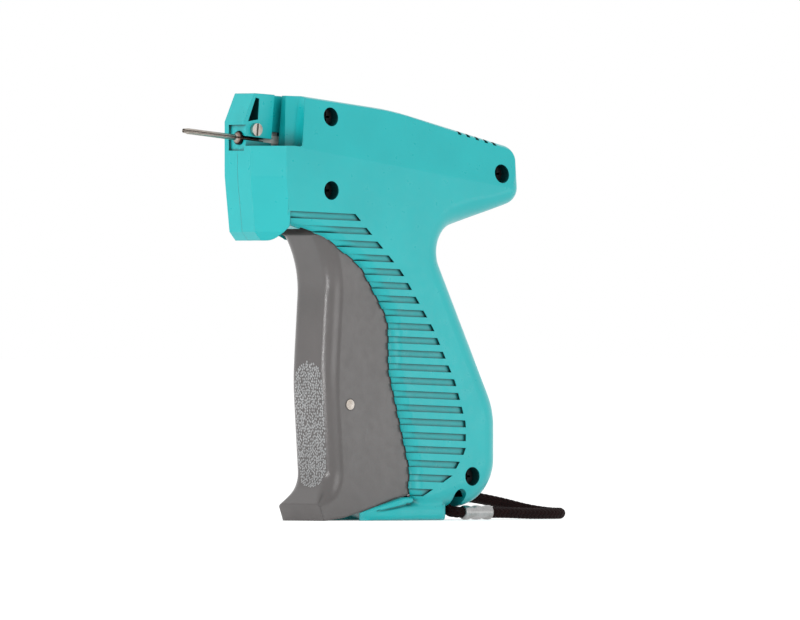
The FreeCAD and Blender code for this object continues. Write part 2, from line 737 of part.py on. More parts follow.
def lever_ratio():
    """Turn of the lever for each degree of the trigger, from the pin's first and last places."""
    pivot = Vector(size("trigger_pivot_x"), size("trigger_pivot_z"), 0)
    lever = Vector(size("lever_pivot_x"), size("lever_pivot_z"), 0)
    rest = Vector(size("trigger_pin_x"), size("trigger_pin_z"), 0)
    swing = math.radians(size("trigger_swing"))
    last = pivot + turned(rest - pivot, swing)
    start, end = rest - lever, last - lever
    first_angle = math.atan2(start.x, -start.y)
    return (math.atan2(end.x, -end.y) - first_angle) / swing


def offset_track(track, distance):
    """A closed band round a track of points, with round ends."""
    curve = Part.BSplineCurve()
    curve.interpolate(track)
    first, last = curve.FirstParameter, curve.LastParameter
    sides = []
    for sign in (1, -1):
        side = []
        for i in range(9):
            at = first + (last - first) * i / 8
            along = curve.tangent(at)[0]
            side.append(curve.value(at) + Vector(-along.y, along.x, 0) * (sign * distance))
        sides.append(side)
    one, other = sides
    end = curve.tangent(last)[0] * distance + curve.value(last)
    start = curve.value(first) - curve.tangent(first)[0] * distance
    upper, lower = Part.BSplineCurve(), Part.BSplineCurve()
    upper.interpolate(one)
    lower.interpolate(other[::-1])
    return [upper, Part.Arc(one[-1], end, other[-1]), lower, Part.Arc(other[0], start, one[0])]


def drive_lever():
    """Two-armed lever: the trigger's pin works its lower arm, its head moves the ejector slide."""
    pivot = Vector(size("lever_pivot_x"), size("lever_pivot_z"), 0)
    head = lever_head()
    track = lever_slot()
    body = new_body("lever_body")
    upward = (head - pivot).normalize()
    side = Vector(-upward.y, upward.x, 0)
    arm = [
        pivot + side * 4.2,
        head + side * 2.2 - upward * 2.2,
        head - side * 2.2 - upward * 2.2,
        pivot - side * 4.2,
    ]
    outline = sketch_in(body, "lever_arm", "XZ_Plane", rounded([(p.x, p.y, 0) for p in arm]))
    feature_on(body, "Pad", "lever_arm_pad", outline, "[lever_thickness]", both_sides=True)
    end = sketch_in(body, "lever_head", "XZ_Plane", circle(head.x, head.y, size("lever_head_radius")))
    feature_on(body, "Pad", "lever_head_pad", end, "[lever_thickness]", both_sides=True)
    hub = sketch_in(body, "lever_hub", "XZ_Plane", circle(pivot.x, pivot.y, 4.4))
    feature_on(body, "Pad", "lever_hub_pad", hub, "[lever_thickness]", both_sides=True)
    band = offset_track(track, 4.1)
    lower = sketch_in(body, "lever_lower", "XZ_Plane", band)
    feature_on(body, "Pad", "lever_lower_pad", lower, "[lever_thickness]", both_sides=True)
    web = [
        pivot + Vector(-4.0, 0, 0),
        pivot + Vector(4.0, 0, 0),
        track[-1] + Vector(3.6, 1.0, 0),
        track[-1] + Vector(-3.6, 1.0, 0),
    ]
    filler = sketch_in(body, "lever_web", "XZ_Plane", rounded([(p.x, p.y, 0) for p in web]))
    feature_on(body, "Pad", "lever_web_pad", filler, "[lever_thickness]", both_sides=True)
    cam = sketch_in(body, "lever_cam", "XZ_Plane", offset_track(track, size("drive_pin_radius") + 0.18))
    feature_on(body, "Pocket", "lever_cam_cut", cam, "[lever_thickness] + 2", both_sides=True)
    bore = sketch_in(body, "lever_bore", "XZ_Plane", circle(pivot.x, pivot.y, size("pivot_pin_radius") + size("running_gap")))
    feature_on(body, "Pocket", "lever_bored", bore, "[lever_thickness] + 2", both_sides=True)
    return keep("drive_lever", body)


def lever_head():
    """Centre of the lever's head at rest, in the tool's side view."""
    pivot = Vector(size("lever_pivot_x"), size("lever_pivot_z"), 0)
    half_turn = math.radians(size("trigger_swing")) * lever_ratio() / 2
    tilt = math.radians(size("barrel_tilt"))
    lean = half_turn - 0.0
    upright = Vector(math.sin(tilt), math.cos(tilt), 0)
    return pivot + turned(upright * size("lever_reach"), -lean)


def head_along():
    """Distance of the lever's head from the nose, along the barrel, at rest."""
    head = lever_head()
    local = BARREL_PLACE.inverse().multVec(Vector(head.x, 0, head.y))
    return local.x


def ejector_slide():
    """Carriage of the ejector rod, forked over the head of the drive lever."""
    body = new_body("slide_body", BARREL_PLACE)
    front, length = size("slide_front"), size("slide_length")
    block = [(front, -7.0, 1.0), (front + length, -7.0, 1.0), (front + length, 4.6, 2.0), (front, 4.6, 2.0)]
    outline = sketch_in(body, "slide_block", "XZ_Plane", rounded(block))
    feature_on(body, "Pad", "slide_pad", outline, "[slide_width]", both_sides=True)
    reach = size("lever_head_radius") + 0.25
    along = head_along()
    fork = sketch_in(body, "slide_fork", "XZ_Plane", rectangle(along - reach, -8, along + reach, 5))
    feature_on(body, "Pocket", "slide_forked", fork, "[lever_thickness] + 0.8", both_sides=True)
    mouth = [(along - 7.2, -8, 0), (along + reach + 2.2, -8, 0)]
    mouth += [(along + reach, -3, 0), (along - 4.8, -3, 0)]
    relief = sketch_in(body, "slide_relief", "XZ_Plane", rounded(mouth))
    feature_on(body, "Pocket", "slide_relieved", relief, "[lever_thickness] + 0.8", both_sides=True)
    hole = sketch_in(body, "slide_rod_hole", "YZ_Plane", circle(0, 0, size("rod_radius") + 0.01), offset=front - 1)
    drilled = feature_on(body, "Pocket", "slide_drilled", hole, "7")
    drilled.Reversed = True
    return keep("ejector_slide", body)


def feed_wheel():
    """Toothed wheel that carries the fastener bars down, with its ratchet behind it."""
    count = int(size("wheel_teeth"))
    offset = size("wheel_offset")
    place = BARREL_PLACE.multiply(Placement(Vector(0, offset, 0), Rotation()))
    body = new_body("wheel_body", place)
    root = sketch_in(body, "wheel_root", "YZ_Plane", circle(0, 0, size("wheel_root")), offset=10.2)
    feature_on(body, "Pad", "wheel_disc", root, "4.2")
    back = sketch_in(body, "ratchet_root", "YZ_Plane", circle(0, 0, 3.9), offset=14.4)
    feature_on(body, "Pad", "ratchet_disc", back, "4.0")
    step = 2 * math.pi / count

    def spoke(angle, radius):
        return (radius * math.cos(angle), radius * math.sin(angle), 0)

    tip, low = size("wheel_tip"), size("wheel_root") - 0.3
    tooth = rounded([
        spoke(step / 2 - 0.17, low),
        spoke(step / 2 - 0.07, tip),
        spoke(step / 2 + 0.07, tip),
        spoke(step / 2 + 0.17, low),
    ])
    one = sketch_in(body, "wheel_tooth", "YZ_Plane", tooth, offset=10.2)
    first = feature_on(body, "Pad", "wheel_tooth_pad", one, "4.2")
    saw = rounded([
        spoke(0.06, 3.6),
        spoke(0.06, size("ratchet_tip")),
        spoke(step * 0.94, 3.6),
    ])
    other = sketch_in(body, "ratchet_tooth", "YZ_Plane", saw, offset=14.4)
    second = feature_on(body, "Pad", "ratchet_tooth_pad", other, "4.0")
    pattern = body.newObject("PartDesign::PolarPattern", "wheel_teeth")
    pattern.Originals = [first, second]
    pattern.Axis = (root, ["N_Axis"])
    pattern.Angle = 360
    pattern.Occurrences = count
    body.Tip = pattern
    bore = sketch_in(body, "wheel_bore", "YZ_Plane", circle(0, 0, size("axle_radius") + size("running_gap")), offset=9)
    drilled = feature_on(body, "Pocket", "wheel_bored", bore, "12")
    drilled.Reversed = True
    return keep("feed_wheel", body)


def index_slider():
    """Upright slider that the trigger's peg moves, and that carries the feed pawl."""
    body = new_body("index_body", BARREL_PLACE)
    peg = Vector(size("feed_peg_x"), 0, size("feed_peg_z"))
    peg = BARREL_PLACE.inverse().multVec(peg)
    side = sketch_in(body, "index_side", "XZ_Plane", rounded([
        (15.1, 4.5, 0.5),
        (18.4, 4.5, 0.5),
        (18.4, peg.z + 5.0, 1.0),
        (peg.x + 4.2, peg.z + 3.0, 1.5),
        (peg.x + 4.2, peg.z - 3.0, 1.5),
        (peg.x - 4.2, peg.z - 3.0, 1.5),
        (peg.x - 4.2, peg.z + 3.0, 1.5),
        (15.1, peg.z + 5.0, 1.0),
    ]), offset=-11.9)
    feature_on(body, "Pad", "index_pad", side, "1.35")
    slot = rounded([
        (peg.x - 2.2, peg.z - 1.32, 1.3),
        (peg.x + 2.2, peg.z - 1.32, 1.3),
        (peg.x + 2.2, peg.z + 1.32, 1.3),
        (peg.x - 2.2, peg.z + 1.32, 1.3),
    ])
    hole = sketch_in(body, "index_slot", "XZ_Plane", slot, offset=-12.5)
    feature_on(body, "Pocket", "index_slotted", hole, "3", reverse=True)
    return keep("index_slider", body)


def springs_and_blades():
    """Feed pawl, anti-backup spring and knife, all bent or cut from thin steel."""
    offset = size("wheel_offset")
    pawl = rounded([
        (10.5, 3.2, 0),
        (10.5, -0.2, 0),
        (offset + 4.2, -0.75, 0),
        (offset + 4.15, -0.45, 0),
        (10.15, 0.2, 0),
        (10.15, 3.2, 0),
    ])
    keep("feed_pawl", end_prism("pawl_strip", pawl, 15.4, 18.1))
    stop = rounded([
        (offset - 1.0, -11.0, 0),
        (offset - 0.6, -11.0, 0),
        (offset + 1.9, -4.85, 0),
        (offset + 1.5, -4.65, 0),
    ])
    keep("anti_backup_spring", end_prism("stop_strip", stop, 15.4, 18.1))
    knife = box("knife_plate", (9.7, -2.85, 0.8), (12.2, -1.0, 1.2), BARREL_PLACE)
    edge = box("knife_bevel", (9.0, -1.6, 1.0), (13, -0.4, 1.6), BARREL_PLACE)
    keep("knife_blade", cut("knife_finished", knife, [edge]))


def end_prism(name, curves, low, high):
    """An outline seen along the barrel, in y and height, extruded along the barrel."""
    outline = doc.addObject("Sketcher::SketchObject", name + "_outline")
    outline.addGeometry(curves, False)
    face_on = Rotation(Vector(0, 1, 0), Vector(0, 0, 1), Vector(1, 0, 0), "ZXY")
    outline.Placement = BARREL_PLACE.multiply(Placement(Vector(low, 0, 0), face_on))
    solid = doc.addObject("Part::Extrusion", name)
    solid.Base = outline
    solid.DirMode = "Normal"
    solid.LengthFwd = high - low
    solid.Solid = True
    return solid


def pins():
    """Plain round pins, the ejector rod and the bar that holds the cord."""
    trigger_at = (size("trigger_pivot_x"), size("trigger_pivot_z"))
    keep("trigger_pivot_pin", across("trigger_pin", *trigger_at, "[pivot_pin_radius]", -12.2, 12.2))
    half = size("trigger_width") / 2 + 0.15
    drive_at = (size("trigger_pin_x"), size("trigger_pin_z"))
    keep("trigger_drive_pin", across("drive_pin", *drive_at, "[drive_pin_radius]", -half, half))
    lever_at = (size("lever_pivot_x"), size("lever_pivot_z"))
    keep("lever_pivot_pin", across("lever_pin", *lever_at, "[pivot_pin_radius]", -7.0, 7.0))
    axle = (7.8, size("wheel_offset"), 0)
    keep("feed_wheel_axle", cylinder("axle", axle, "[axle_radius]", 13.6, ALONG_X, BARREL_PLACE))
    tip = size("rod_tip")
    long = size("slide_front") + 5.8 - tip
    keep("ejector_rod", cylinder("rod", (tip, 0, 0), "[rod_radius]", long, ALONG_X, BARREL_PLACE))
    keep("strap_bar", cylinder("bar", (-1.8, 0, 3.6), 1.2, 13.6, ALONG_X))


def casing_screws():
    """The four screws that hold the halves together, driven from the left."""
    screws = []
    for i, (x, z) in enumerate(SCREW_PLACES):
        seat = -SCREW_SEATS[i]
        shank = across(f"screw_{i}_shank", x, z, "[screw_radius]", seat, 8.2)
        head = across(f"screw_{i}_head", x, z, "[screw_head]", seat - 1.8, seat)
        wide = 0.35
        slot_a = box(f"screw_{i}_slot_a", (x - 1.6, seat - 2, z - wide), (x + 1.6, seat - 1.0, z + wide))
        slot_b = box(f"screw_{i}_slot_b", (x - wide, seat - 2, z - 1.6), (x + wide, seat - 1.0, z + 1.6))
        blank = fuse(f"screw_{i}_blank", [shank, head])
        screws.append(cut(f"screw_{i}", blank, [slot_a, slot_b]))
    group = doc.addObject("Part::Compound", "screw_group")
    group.Links = screws
    return keep("casing_screws", group)


def return_spring():
    """Compression spring between the handle's back and the lever, which pushes the trigger out."""
    radius, turns, wire = 3.0, 7, 0.45
    start, end = -27.6, 13.2
    height = end - start
    path = Part.makeHelix(height / turns, height - 0.01, radius)
    section = [Vector(radius + wire * math.cos(a), 0, wire * math.sin(a)) for a in [i * math.pi / 2.5 for i in range(5)]]
    ring = Part.makePolygon(section + section[:1])
    shell = Part.Wire(path.Edges).makePipeShell([ring], True, True)
    spring = doc.addObject("Part::Feature", "spring")
    spring.Shape = shell
    spring.Placement = Placement(Vector(start, 0, 46.0), ALONG_X)
    return keep("return_spring", spring)


def cord_path():
    """Straight runs joined by tangent arcs that are as large as their runs allow."""
    points = [Vector(*p) for p in CORD_POINTS]
    edges, radii, at = [], [], points[0]
    for i in range(1, len(points) - 1):
        before, after = points[i - 1] - points[i], points[i + 1] - points[i]
        room = 0.45 * min(before.Length, after.Length)
        before.normalize()
        after.normalize()
        turn = math.pi - before.getAngle(after)
        radius = room / math.tan(turn / 2)
        middle = points[i] + (before + after).normalize() * (radius / math.cos(turn / 2) - radius)
        start, end = points[i] + before * room, points[i] + after * room
        edges.append(Part.LineSegment(at, start).toShape())
        edges.append(Part.Arc(start, middle, end).toShape())
        radii.append(round(radius, 1))
        at = end
    edges.append(Part.LineSegment(at, points[-1]).toShape())
    print("cord radii", radii)
    return Part.Wire(edges)


def wrist_cord():
    """The braided wrist loop, whose two ends meet in a crimped sleeve."""
    radius = size("cord_radius")
    path = cord_path()
    start = path.Edges[0].firstVertex().Point
    direction = path.Edges[0].tangentAt(path.Edges[0].FirstParameter)
    sides = 8
    around = direction.cross(Vector(0, 0, 1)).normalize()
    upward = around.cross(direction)
    corners = []
    for i in range(sides):
        turn = 2 * math.pi * i / sides
        corners.append(start + around * (radius * math.cos(turn)) + upward * (radius * math.sin(turn)))
    tube = path.makePipeShell([Part.makePolygon(corners + corners[:1])], True, True)
    section = sides / 2 * radius**2 * math.sin(2 * math.pi / sides)
    print("cord volume", round(tube.Volume, 1), "section x length", round(section * path.Length, 1))
    print("cord length", round(path.Length, 1))
    cord = doc.addObject("Part::Feature", "cord")
    cord.Shape = tube
    keep("wrist_cord", cord)
    start = (10.2, -9.0, 2.4)
    sleeve = cylinder("sleeve", start, "[crimp_radius]", size("crimp_length"), ALONG_X)
    bore = cylinder("sleeve_bore", (9.0, -9.0, 2.4), "[cord_radius] + 0.02", 14.0, ALONG_X)
    keep("crimp_sleeve", cut("sleeve_bored", sleeve, [bore]))


def build():
    casing("casing_left", -1)
    casing("casing_right", 1)
    needle()
    needle_lock()
    trigger()
    drive_lever()
    ejector_slide()
    feed_wheel()
    index_slider()
    springs_and_blades()
    pins()
    casing_screws()
    return_spring()
    wrist_cord()
    doc.recompute()
    print("lever turns", round(lever_ratio(), 4), "times the trigger")
    stroke = 2 * size("lever_reach") * math.sin(math.radians(size("trigger_swing")) * lever_ratio() / 2)
    print("slide stroke", round(stroke, 3), "head along", round(head_along(), 3))


def check():
    """Stop if a feature failed, or if a sub-part isn't a valid solid."""
    for feature in doc.Objects:
        if "Invalid" in feature.State or "Error" in feature.State:
            raise RuntimeError(f"{feature.Name} ({feature.Label}) is {feature.State}")
    for node, feature in parts.items():
        shape = feature.Shape
        if shape.isNull() or not shape.isValid():
            raise RuntimeError(f"{node} has no valid shape")
        print(node, "solids", len(shape.Solids), "volume", round(shape.Volume, 1))


def write():
    os.makedirs("parts", exist_ok=True)
    for node, feature in parts.items():
        feature.Shape.exportStep(f"parts/{node}.step")


build()
check()
write()
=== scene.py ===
"""Looks of the garment tag attacher: its finishes, its wrist loop, the studio and the camera."""

import logging
import math
from dataclasses import dataclass, field
from enum import Enum
from typing import Any

import bmesh
import bpy
import numpy as np
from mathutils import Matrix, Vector
from mathutils.bvhtree import BVHTree


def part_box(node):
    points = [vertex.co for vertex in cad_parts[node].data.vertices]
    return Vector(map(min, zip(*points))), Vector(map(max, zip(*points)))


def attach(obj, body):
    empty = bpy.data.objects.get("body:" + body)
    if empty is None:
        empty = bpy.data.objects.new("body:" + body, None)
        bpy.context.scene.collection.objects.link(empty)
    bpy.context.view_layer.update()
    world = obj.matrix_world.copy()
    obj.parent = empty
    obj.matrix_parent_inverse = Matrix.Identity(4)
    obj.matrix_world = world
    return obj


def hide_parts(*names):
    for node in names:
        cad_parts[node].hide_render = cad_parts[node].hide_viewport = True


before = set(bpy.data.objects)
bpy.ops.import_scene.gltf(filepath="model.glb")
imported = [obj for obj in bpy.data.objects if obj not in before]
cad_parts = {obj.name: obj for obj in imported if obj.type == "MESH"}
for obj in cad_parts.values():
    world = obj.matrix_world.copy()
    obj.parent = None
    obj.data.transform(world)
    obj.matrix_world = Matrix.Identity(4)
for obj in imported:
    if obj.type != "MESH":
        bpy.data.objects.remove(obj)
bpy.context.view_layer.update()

MM = 0.001
BARREL_TILT = math.radians(5.5)
NEEDLE_ROOT = Vector((-0.0760, 0.0, 0.1222))
BUMP_DEPTH = 0.12 * MM
MARK_DEPTH = 0.03 * MM
FIBRE_DEPTH = 0.08 * MM
# How far the painted shade looks for nearby surfaces: in the casing's grooves, its deep hollows, and the
# metals' crevices.
GROOVE_SHADE_REACH = 3.5 * MM
HOLLOW_SHADE_REACH = 9.0 * MM
METAL_SHADE_REACH = 0.9 * MM
SOFT_EDGE = 0.2 * MM
CREASE_START = Vector((-0.0605, 0.0, 0.1190))
CREASE_SLOPE = 0.145
CREASE_DEPTH = 3.0 * MM
CREASE_HEIGHT = 30.0 * MM
CREASE_SIDE = 8.0 * MM
SEAM_TOP = 117.0 * MM
log = logging.getLogger("tag_attacher")
Rgb = tuple[float, float, float]


class Grain(Enum):
    """How the skin of a moulding is textured."""

    SATIN = 0.10
    POLISHED = 0.03
    RAW = 0.18


@dataclass(frozen=True)
class PlasticFinish:
    """A moulded plastic, with colours in linear light and sizes in metres: its main colour, a second
    tone, the grain's cell, the share of its scuffs, the depth of its seam, the radius of softened
    edges, whether it has the crease, and whether painted shade darkens its grooves and hollows."""

    name: str
    colour: Rgb
    tone: Rgb
    roughness: float
    grain: Grain
    cell: float = 0.0003
    scuffs: float = 0.10
    seam: float = 0.0
    edge: float = 0.0
    crease: float = 0.0
    painted_hollow_shade: bool = False


@dataclass(frozen=True)
class MetalFinish:
    """A drawn or pressed metal, with colours in linear light."""

    name: str
    colour: Rgb
    tarnish: Rgb
    roughness: float
    stretch: tuple[float, float, float] = (400.0, 6000.0, 6000.0)


@dataclass(frozen=True)
class NeedleFinish:
    """Drawn steel with a brown hub that has a dark rim, with sizes in metres."""

    steel: MetalFinish
    hub: Rgb
    ring: Rgb
    hub_start: float
    ring_radius: float


@dataclass(frozen=True)
class YarnFinish:
    """A braided yarn, with colours in linear light."""

    name: str
    colour: Rgb
    fibre: Rgb
    roughness: float = 0.78


CASING = PlasticFinish(
    "casing_plastic",
    (0.008, 0.535, 0.552),
    (0.007, 0.500, 0.518),
    0.32,
    Grain.SATIN,
    seam=0.4,
    edge=0.25 * MM,
    crease=1.0,
    painted_hollow_shade=True,
    scuffs=0.0,
)
TRIGGER = PlasticFinish(
    "trigger_plastic",
    (0.132, 0.121, 0.119),
    (0.114, 0.105, 0.103),
    0.20,
    Grain.POLISHED,
    edge=1.1 * MM,
)
# Painted sheen: the pebbles are the trigger's own grey plastic, painted much paler to stand in for the
# light that their grain scatters.
PEBBLES_PAINTED_SHEEN = PlasticFinish(
    "pebble_plastic_painted_sheen",
    (0.460, 0.464, 0.468),
    (0.380, 0.382, 0.385),
    0.30,
    Grain.RAW,
)
INNER = PlasticFinish("inner_plastic", (0.020, 0.020, 0.022), (0.030, 0.030, 0.032), 0.48, Grain.RAW)
WHITE = PlasticFinish("white_plastic", (0.72, 0.72, 0.69), (0.62, 0.62, 0.58), 0.45, Grain.RAW)
STEEL = MetalFinish("drawn_steel", (0.50, 0.46, 0.42), (0.24, 0.19, 0.15), 0.28)
NEEDLE = NeedleFinish(STEEL, (0.26, 0.17, 0.14), (0.012, 0.010, 0.010), -0.0768, 0.0017)
BLACK_STEEL = MetalFinish("black_steel", (0.030, 0.030, 0.032), (0.012, 0.012, 0.012), 0.42)
CRIMP = MetalFinish("crimp_metal", (0.42, 0.42, 0.42), (0.26, 0.26, 0.25), 0.30, (5000.0, 5000.0, 900.0))
YARN = YarnFinish("cord_yarn", (0.0050, 0.0012, 0.0012), (0.040, 0.011, 0.010))


class Signal:
    """A shader value that takes part in arithmetic."""

    def __init__(self, graph: "Graph", socket: bpy.types.NodeSocket) -> None:
        self.graph = graph
        self.socket = socket

    def math(self, operation: str, *others: "Signal | float") -> "Signal":
        """Args: operation: a Math node's operation; others: its further inputs. Returns: the result."""
        values = [self, *others]
        node = self.graph.node("ShaderNodeMath", dict(enumerate(values)), operation=operation)
        return Signal(self.graph, node.outputs[0])

    def __add__(self, other: "Signal | float") -> "Signal":
        return self.math("ADD", other)

    def __sub__(self, other: "Signal | float") -> "Signal":
        return self.math("SUBTRACT", other)

    def __mul__(self, other: "Signal | float") -> "Signal":
        return self.math("MULTIPLY", other)

    def __radd__(self, other: float) -> "Signal":
        return self.math("ADD", other)

    def __rmul__(self, other: float) -> "Signal":
        return self.math("MULTIPLY", other)

    def __rsub__(self, other: float) -> "Signal":
        node = self.graph.node("ShaderNodeMath", {0: other, 1: self}, operation="SUBTRACT")
        return Signal(self.graph, node.outputs[0])

    def __abs__(self) -> "Signal":
        return self.math("ABSOLUTE")

    def power(self, exponent: float) -> "Signal":
        """Args: exponent: the power. Returns: this value raised to it."""
        return self.math("POWER", exponent)

    def below(self, limit: float) -> "Signal":
        """Args: limit: the threshold. Returns: 1 where this value is under it, and else 0."""
        return self.math("LESS_THAN", limit)

    def ramp(self, low: float, high: float, start: float = 0.0, end: float = 1.0) -> "Signal":
        """Args: low, high: the range read; start, end: what it maps to. Returns: the clamped value."""
        node = self.graph.node(
            "ShaderNodeMapRange",
            {"Value": self, "From Min": low, "From Max": high, "To Min": start, "To Max": end},
            clamp=True,
        )
        return Signal(self.graph, node.outputs["Result"])


class Graph:
    """The nodes of one material, or of the world."""

    def __init__(self, name: str, world: bool = False) -> None:
        self.owner = bpy.data.worlds.new(name) if world else bpy.data.materials.new(name)
        self.owner.use_nodes = True
        self.tree = self.owner.node_tree
        self.tree.nodes.clear()

    def node(self, kind: str, inputs: dict[Any, Any] | None = None, **settings: Any) -> bpy.types.Node:
        """Args: kind: the node's type; inputs: values or sockets by name; settings: its properties.
        Returns: the new node."""
        made = self.tree.nodes.new(kind)
        for key, value in settings.items():
            setattr(made, key, value)
        for key, value in (inputs or {}).items():
            if isinstance(value, Signal):
                self.tree.links.new(value.socket, made.inputs[key])
            elif isinstance(value, bpy.types.NodeSocket):
                self.tree.links.new(value, made.inputs[key])
            else:
                made.inputs[key].default_value = value
        return made

    def seen(self) -> Signal:
        """Returns: 1 for rays that the camera sees, straight, mirrored or through glass, and else 0."""
        ray = self.node("ShaderNodeLightPath")
        kinds = ("Camera", "Glossy", "Transmission")
        camera, gloss, glass = (Signal(self, ray.outputs[f"Is {kind} Ray"]) for kind in kinds)
        return camera + gloss + glass

    def place(self) -> bpy.types.NodeSocket:
        """Returns: the point's place in the object's own space, in metres."""
        return self.node("ShaderNodeTexCoord").outputs["Object"]

    def axis(self, name: str) -> Signal:
        """Args: name: X, Y or Z. Returns: that coordinate, in metres."""
        parts = self.node("ShaderNodeSeparateXYZ", {0: self.place()})
        return Signal(self, parts.outputs[name])

    def noise(self, scale: float, detail: float = 3.0, stretch: Any = None, sharp: float = 0.5) -> Signal:
        """Args: scale: cells in a metre; detail: octaves; stretch: scale by axis instead; sharp:
        the octaves' share. Returns: the noise's value."""
        where: Any = self.place()
        if stretch is not None:
            where = self.node("ShaderNodeMapping", {"Vector": where, "Scale": stretch}).outputs[0]
            scale = 1.0
        made = self.node(
            "ShaderNodeTexNoise",
            {"Vector": where, "Scale": scale, "Detail": detail, "Roughness": sharp},
        )
        return Signal(self, made.outputs["Fac"])

    def crevice(self, reach: float) -> Signal:
        """Args: reach: how far it looks, in metres. Returns: 1 in the open, and less in grooves, from
        ambient occlusion that the materials use as painted shade.
        """
        made = self.node(
            "ShaderNodeAmbientOcclusion", {"Distance": reach}, samples=16, only_local=True
        )
        return Signal(self, made.outputs["AO"])

    def mix(self, share: Signal, first: Any, second: Any) -> bpy.types.NodeSocket:
        """Args: share: how much of the second; first, second: colours. Returns: the mixed colour."""
        colours = [(*c, 1.0) if isinstance(c, tuple) else c for c in (first, second)]
        made = self.node("ShaderNodeMix", {0: share, 6: colours[0], 7: colours[1]}, data_type="RGBA")
        return made.outputs[2]

    def bump(self, height: Signal, depth: float, edge: float = 0.0) -> bpy.types.NodeSocket:
        """Args: height: from 0 to 1; depth: its size in metres; edge: the radius of softened edges.
        Returns: the bent normal."""
        inputs: dict[Any, Any] = {"Height": height, "Distance": depth}
        if edge:
            inputs["Normal"] = self.node("ShaderNodeBevel", {"Radius": edge}, samples=4).outputs[0]
        return self.node("ShaderNodeBump", inputs).outputs["Normal"]

    def finish(self, **inputs: Any) -> bpy.types.Material:
        """Args: inputs: the surface's values, with spaces in their names as underscores.
        Returns: the finished material."""
        named = {key.replace("_", " "): value for key, value in inputs.items()}
        surface = self.node("ShaderNodeBsdfPrincipled", named)
        self.node("ShaderNodeOutputMaterial", {"Surface": surface.outputs[0]})
        return self.owner


def upper_lean(graph: Graph) -> Signal:
    """Args: graph: the casing's nodes. Returns: how far the side leans in above the crease that runs
    back from the ledge, in units of the bump's depth."""
    x, z = graph.axis("X"), graph.axis("Z")
    above = z - CREASE_START.z + (x - CREASE_START.x) * CREASE_SLOPE
    behind = x.ramp(CREASE_START.x - 1.0 * MM, CREASE_START.x)
    left = (graph.axis("Y") + CREASE_SIDE).below(0.0)
    lean = above.ramp(0.0, CREASE_HEIGHT, 0.0, -CREASE_DEPTH / BUMP_DEPTH)
    return lean * behind * left


def plastic(finish: PlasticFinish) -> bpy.types.Material:
    """Args: finish: its colours and texture. Returns: a moulded plastic material."""
    graph = Graph(finish.name)
    cloud = graph.noise(55.0, 4.0)
    colour = graph.mix(cloud.ramp(0.35, 0.65), finish.colour, finish.tone)
    scratch = graph.noise(1.0, 4.0, stretch=(900.0, 900.0, 90.0), sharp=0.7)
    scuffed = scratch.ramp(0.66, 0.74) * finish.scuffs
    pale = tuple(min(1.0, c * 1.5 + 0.05) for c in finish.colour)
    colour = graph.mix(scuffed, colour, pale)
    rough = graph.noise(420.0, 5.0).ramp(0.3, 0.7, finish.roughness - 0.05, finish.roughness + 0.06)
    height = graph.noise(1 / finish.cell, 2.0) * finish.grain.value + cloud * 0.2
    # Painted shade: the colour darkens in narrow grooves, and much more in deep hollows, by ambient
    # occlusion, where shade falls.
    if finish.painted_hollow_shade:
        groove_shade = graph.crevice(GROOVE_SHADE_REACH).ramp(0.30, 0.90)
        hollow_shade = graph.crevice(HOLLOW_SHADE_REACH).ramp(0.38, 0.88)
        colour = graph.mix(groove_shade, tuple(c * 0.75 for c in finish.colour), colour)
        colour = graph.mix(hollow_shade, tuple(c * 0.08 for c in finish.colour), colour)
    if finish.seam:
        low = graph.axis("Z").below(SEAM_TOP)
        seam = 1.0 - (1.0 - abs(graph.axis("Y")).ramp(0.04 * MM, 0.16 * MM)) * low
        colour = graph.mix(seam, tuple(c * 0.7 for c in finish.colour), colour)
        height = height + seam * finish.seam
    if finish.crease:
        height = height + upper_lean(graph) * finish.crease
    normal = graph.bump(height, BUMP_DEPTH, finish.edge)
    return graph.finish(
        Base_Color=colour,
        Roughness=rough,
        Normal=normal,
        IOR=1.49,
        Coat_Weight=0.08,
        Coat_Roughness=0.2,
    )


def metal(finish: MetalFinish) -> bpy.types.Material:
    """Args: finish: its colours and its drawing marks. Returns: a metal material, with painted shade in
    its crevices.
    """
    graph = Graph(finish.name)
    marks = graph.noise(1.0, 4.0, stretch=finish.stretch, sharp=0.65)
    stain = graph.noise(260.0, 5.0).ramp(0.45, 0.75)
    colour = graph.mix(stain, finish.colour, finish.tarnish)
    # Painted shade: the colour darkens to near black in narrow crevices, by ambient occlusion.
    groove_shade = graph.crevice(METAL_SHADE_REACH).ramp(0.35, 0.8)
    colour = graph.mix(groove_shade, tuple(c * 0.08 for c in finish.colour), colour)
    rough = marks.ramp(0.3, 0.7, finish.roughness - 0.08, finish.roughness + 0.12)
    normal = graph.bump(marks, MARK_DEPTH)
    return graph.finish(Base_Color=colour, Metallic=1.0, Roughness=rough, Normal=normal)


def needle_metal(finish: NeedleFinish) -> bpy.types.Material:
    """Args: finish: its steel, and the hub's colours and sizes. Returns: the needle's material."""
    graph = Graph("needle_steel")
    rise = graph.axis("X") * math.sin(BARREL_TILT) + graph.axis("Z") * math.cos(BARREL_TILT)
    above = rise - NEEDLE_ROOT.x * math.sin(BARREL_TILT) - NEEDLE_ROOT.z * math.cos(BARREL_TILT)
    radius = (above * above + graph.axis("Y") * graph.axis("Y")).power(0.5)
    marks = graph.noise(1.0, 4.0, stretch=finish.steel.stretch, sharp=0.65)
    colour = graph.mix(marks.ramp(0.35, 0.7), finish.steel.colour, finish.steel.tarnish)
    hub = graph.axis("X").ramp(finish.hub_start, finish.hub_start + SOFT_EDGE)
    colour = graph.mix(hub, colour, finish.hub)
    ring = radius.ramp(finish.ring_radius, finish.ring_radius + SOFT_EDGE)
    colour = graph.mix(ring, colour, finish.ring)
    rough = marks.ramp(0.3, 0.7, finish.steel.roughness - 0.08, finish.steel.roughness + 0.14)
    normal = graph.bump(marks, MARK_DEPTH)
    return graph.finish(Base_Color=colour, Metallic=1.0, Roughness=rough, Normal=normal)


